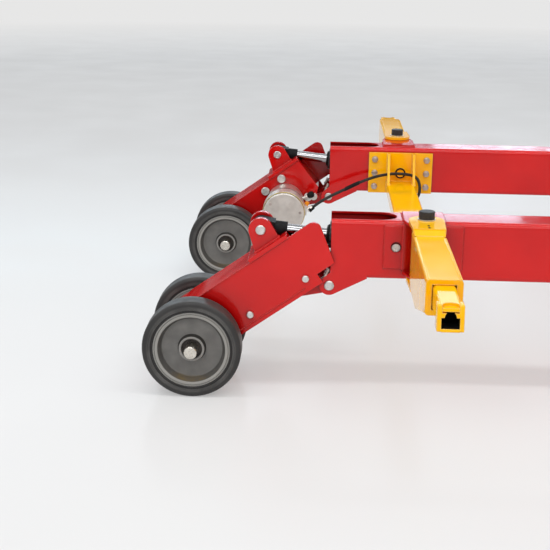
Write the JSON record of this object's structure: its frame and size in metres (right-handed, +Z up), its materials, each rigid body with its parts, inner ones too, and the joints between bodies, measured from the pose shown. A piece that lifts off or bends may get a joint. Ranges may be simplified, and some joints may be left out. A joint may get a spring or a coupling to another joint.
{
  "type": "helicopter tow cart",
  "caption": "Low ground-handling cart with two box beams joined by a cross tube, hinged driven wheel arms lifted by cylinders, folding side arms and a tow bar.",
  "frame": {"origin": "on the floor under the middle of the cart's box", "axes": "+X forward towards the tow eye, +Y to the cart's left, +Z up"},
  "size_m": [3.0009, 2.567, 0.669],
  "materials": {
    "red_paint": "gloss red enamel over welded steel",
    "yellow_paint": "gloss yellow enamel over welded steel",
    "zinc_steel": "bright zinc plated steel",
    "axle_steel": "turned bare steel",
    "cast_rim": "grey cast metal, satin",
    "tyre_rubber": "solid grey-black rubber",
    "dark_steel": "oiled dark steel",
    "motor_alloy": "satin turned aluminium",
    "barrel_paint": "black enamel over drawn steel tube",
    "rod_chrome": "hard chrome",
    "black_steel": "black painted steel",
    "black_plastic": "matt black plastic",
    "cable_rubber": "black rubber sheath",
    "case_paint": "gloss red enamel over sheet steel",
    "caster_poly": "dark polyurethane on a moulded centre"
  },
  "bodies": {
    "frame": {"cross_tube": "yellow_paint", "cross_tube_bolts": "zinc_steel", "front_beam": "red_paint", "power_case": "case_paint", "case_lid": "case_paint", "battery_pair": "black_plastic", "pump_unit": "dark_steel", "tow_pin": "zinc_steel", "right_beam": "red_paint", "right_hinge_pin": "zinc_steel", "right_base_pin": "zinc_steel", "right_side_pin": "zinc_steel", "right_side_cap": "black_plastic", "right_motor_cable": "cable_rubber", "left_beam": "red_paint", "left_hinge_pin": "zinc_steel", "left_base_pin": "zinc_steel", "left_side_pin": "zinc_steel", "left_side_cap": "black_plastic", "left_motor_cable": "cable_rubber"},
    "right_arm_body": {"right_wheel_arm": "red_paint", "right_clevis_pin": "zinc_steel", "right_motor": "motor_alloy", "right_arm_bolts": "zinc_steel", "right_drive_chain": "dark_steel"},
    "right_wheel_body": {"right_axle": "axle_steel", "right_outer_rim": "cast_rim", "right_inner_rim": "cast_rim", "right_outer_tyre": "tyre_rubber", "right_inner_tyre": "tyre_rubber", "right_axle_sprocket": "dark_steel"},
    "right_drive_body": {"right_motor_sprocket": "dark_steel"},
    "right_barrel_body": {"right_barrel": "barrel_paint"},
    "right_rod_body": {"right_rod": "rod_chrome", "right_rod_end": "black_steel"},
    "right_sleeve_body": {"right_sleeve": "yellow_paint"},
    "right_bar_body": {"right_bar": "yellow_paint"},
    "right_fork_body": {"right_caster_fork": "zinc_steel"},
    "right_roller_body": {"right_caster_wheel": "caster_poly"},
    "left_arm_body": {"left_wheel_arm": "red_paint", "left_clevis_pin": "zinc_steel", "left_motor": "motor_alloy", "left_arm_bolts": "zinc_steel", "left_drive_chain": "dark_steel"},
    "left_wheel_body": {"left_axle": "axle_steel", "left_outer_rim": "cast_rim", "left_inner_rim": "cast_rim", "left_outer_tyre": "tyre_rubber", "left_inner_tyre": "tyre_rubber", "left_axle_sprocket": "dark_steel"},
    "left_drive_body": {"left_motor_sprocket": "dark_steel"},
    "left_barrel_body": {"left_barrel": "barrel_paint"},
    "left_rod_body": {"left_rod": "rod_chrome", "left_rod_end": "black_steel"},
    "left_sleeve_body": {"left_sleeve": "yellow_paint"},
    "left_bar_body": {"left_bar": "yellow_paint"},
    "left_fork_body": {"left_caster_fork": "zinc_steel"},
    "left_roller_body": {"left_caster_wheel": "caster_poly"},
    "lever_body": {"lift_lever": "black_steel"},
    "tow_bar_body": {"tow_bar": "yellow_paint"}
  },
  "joints": [
    {"name": "right_arm_lift", "type": "hinge", "parent": "frame", "child": "right_arm_body", "pos_m": [-1.0285, -0.5435, 0.283], "axis": [0, 1, 0], "range_deg": [0, 25], "deforming": ["right_motor_cable"]},
    {"name": "right_barrel_tilt", "type": "hinge", "parent": "frame", "child": "right_barrel_body", "pos_m": [-0.8625, -0.5435, 0.388], "axis": [0, 1, 0], "range_deg": [0, 14.2]},
    {"name": "right_rod_stroke", "type": "slide", "parent": "right_barrel_body", "child": "right_rod_body", "axis": [-0.9954, 0, 0.0956], "range_m": [-0.0592, 0]},
    {"name": "right_wheel_roll", "type": "hinge", "parent": "right_arm_body", "child": "right_wheel_body", "pos_m": [-1.3735, -0.5435, 0.127], "axis": [0, 1, 0], "continuous": true},
    {"name": "right_drive_spin", "type": "hinge", "parent": "right_arm_body", "child": "right_drive_body", "pos_m": [-1.17474, -0.5435, 0.26509], "axis": [0, 1, 0], "continuous": true},
    {"name": "right_side_arm_fold", "type": "hinge", "parent": "frame", "child": "right_sleeve_body", "pos_m": [-0.793, -0.6465, 0.4], "axis": [0, 0, 1], "range_deg": [0, 90]},
    {"name": "right_bar_slide", "type": "slide", "parent": "right_sleeve_body", "child": "right_bar_body", "axis": [0, -1, 0], "range_m": [-0.1, 0.18]},
    {"name": "right_caster_swivel", "type": "hinge", "parent": "frame", "child": "right_fork_body", "pos_m": [0.6985, -0.5435, 0.28], "axis": [0, 0, 1], "continuous": true},
    {"name": "right_caster_roll", "type": "hinge", "parent": "right_fork_body", "child": "right_roller_body", "pos_m": [0.6565, -0.5435, 0.1], "axis": [0, 1, 0], "continuous": true},
    {"name": "left_arm_lift", "type": "hinge", "parent": "frame", "child": "left_arm_body", "pos_m": [-1.0285, 0.5435, 0.283], "axis": [0, 1, 0], "range_deg": [0, 25], "deforming": ["left_motor_cable"]},
    {"name": "left_barrel_tilt", "type": "hinge", "parent": "frame", "child": "left_barrel_body", "pos_m": [-0.8625, 0.5435, 0.388], "axis": [0, 1, 0], "range_deg": [0, 14.2]},
    {"name": "left_rod_stroke", "type": "slide", "parent": "left_barrel_body", "child": "left_rod_body", "axis": [-0.9954, 0, 0.0956], "range_m": [-0.0592, 0]},
    {"name": "left_wheel_roll", "type": "hinge", "parent": "left_arm_body", "child": "left_wheel_body", "pos_m": [-1.3735, 0.5435, 0.127], "axis": [0, 1, 0], "continuous": true},
    {"name": "left_drive_spin", "type": "hinge", "parent": "left_arm_body", "child": "left_drive_body", "pos_m": [-1.17474, 0.5435, 0.26509], "axis": [0, 1, 0], "continuous": true},
    {"name": "left_side_arm_fold", "type": "hinge", "parent": "frame", "child": "left_sleeve_body", "pos_m": [-0.793, 0.6465, 0.4], "axis": [0, 0, -1], "range_deg": [0, 90]},
    {"name": "left_bar_slide", "type": "slide", "parent": "left_sleeve_body", "child": "left_bar_body", "axis": [0, 1, 0], "range_m": [-0.1, 0.18]},
    {"name": "left_caster_swivel", "type": "hinge", "parent": "frame", "child": "left_fork_body", "pos_m": [0.6985, 0.5435, 0.28], "axis": [0, 0, 1], "continuous": true},
    {"name": "left_caster_roll", "type": "hinge", "parent": "left_fork_body", "child": "left_roller_body", "pos_m": [0.6565, 0.5435, 0.1], "axis": [0, 1, 0], "continuous": true},
    {"name": "lift_lever_tilt", "type": "hinge", "parent": "frame", "child": "lever_body", "pos_m": [0.8335, -0.18, 0.516], "axis": [0, 1, 0], "range_deg": [-15, 15], "stiffness_Nm_per_rad": 4},
    {"name": "tow_bar_pitch", "type": "hinge", "parent": "frame", "child": "tow_bar_body", "pos_m": [0.8185, 0, 0.38], "axis": [0, -1, 0], "range_deg": [-15, 90]}
  ],
  "couplings": [
    {"joint": "left_arm_lift", "follows": "right_arm_lift", "ratio": 1},
    {"joint": "right_barrel_tilt", "follows": "right_arm_lift", "ratio": 0.56},
    {"joint": "right_rod_stroke", "follows": "right_arm_lift", "m_per_rad": -0.135},
    {"joint": "right_drive_spin", "follows": "right_wheel_roll", "ratio": 1.5},
    {"joint": "left_barrel_tilt", "follows": "right_arm_lift", "ratio": 0.56},
    {"joint": "left_rod_stroke", "follows": "right_arm_lift", "m_per_rad": -0.135},
    {"joint": "left_drive_spin", "follows": "left_wheel_roll", "ratio": 1.5}
  ]
}
